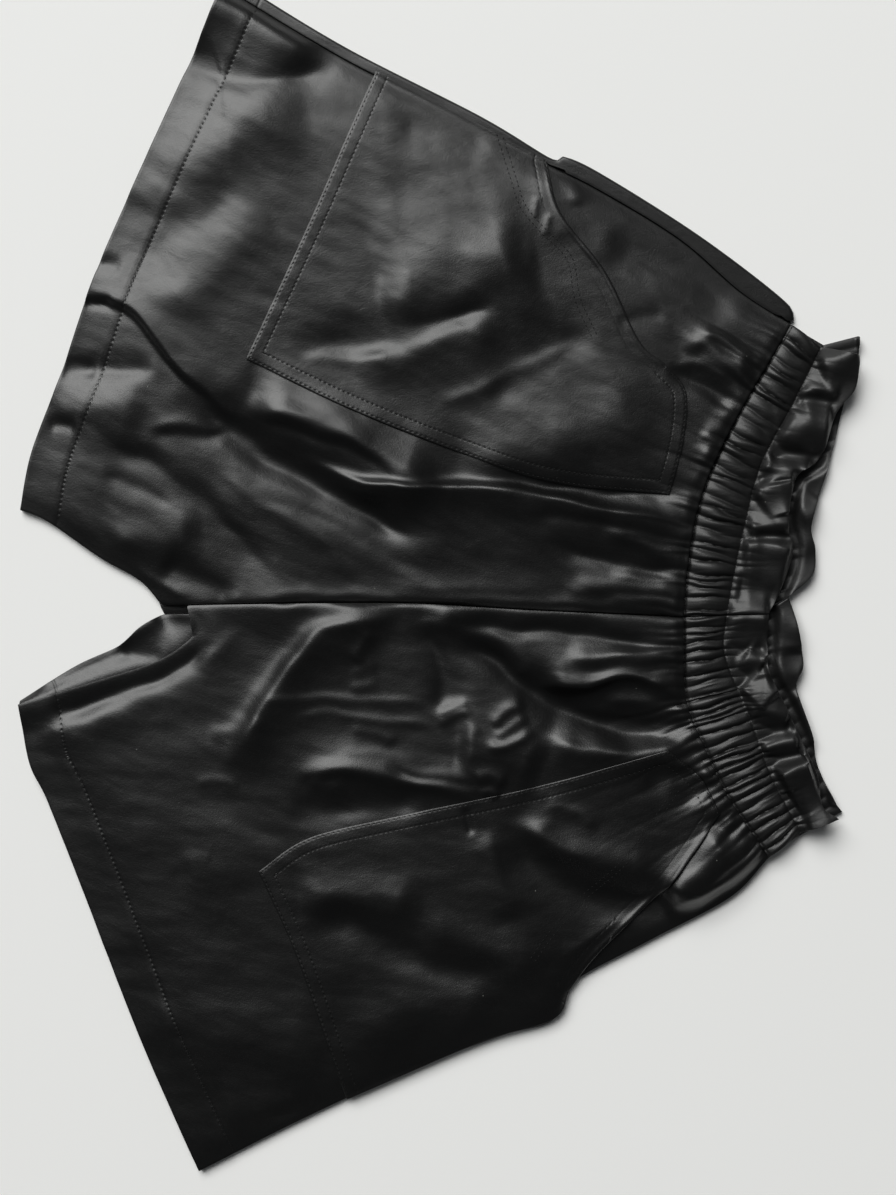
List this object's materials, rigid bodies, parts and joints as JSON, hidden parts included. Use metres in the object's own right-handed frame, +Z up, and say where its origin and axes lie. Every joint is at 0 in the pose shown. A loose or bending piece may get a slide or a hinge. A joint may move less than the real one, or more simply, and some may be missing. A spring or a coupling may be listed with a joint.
{
  "type": "leather shorts",
  "caption": "Pull-on leather shorts with an elasticated paperbag waist and front patch pockets, lying flat and front up.",
  "frame": {"origin": "on the surface that the shorts lie on, under the middle of their outline", "axes": "+Z up from the surface, +Y towards the waist, +X towards the wearer's left leg, which is across the splayed legs"},
  "size_m": [0.6945, 0.488, 0.0227],
  "materials": {
    "panel_leather": "black coated leather, smooth, satin, with fine creases",
    "pocket_leather": "black coated leather, smooth, satin, topstitched along the edges",
    "waist_leather": "black coated leather, gathered on elastic, satin"
  },
  "bodies": {
    "root": {"front_right": "panel_leather", "front_left": "panel_leather", "back_right": "panel_leather", "back_left": "panel_leather", "pocket_right": "pocket_leather", "pocket_left": "pocket_leather", "waistband_front_right": "waist_leather", "waistband_front_left": "waist_leather", "waistband_back_right": "waist_leather", "waistband_back_left": "waist_leather"}
  },
  "joints": []
}
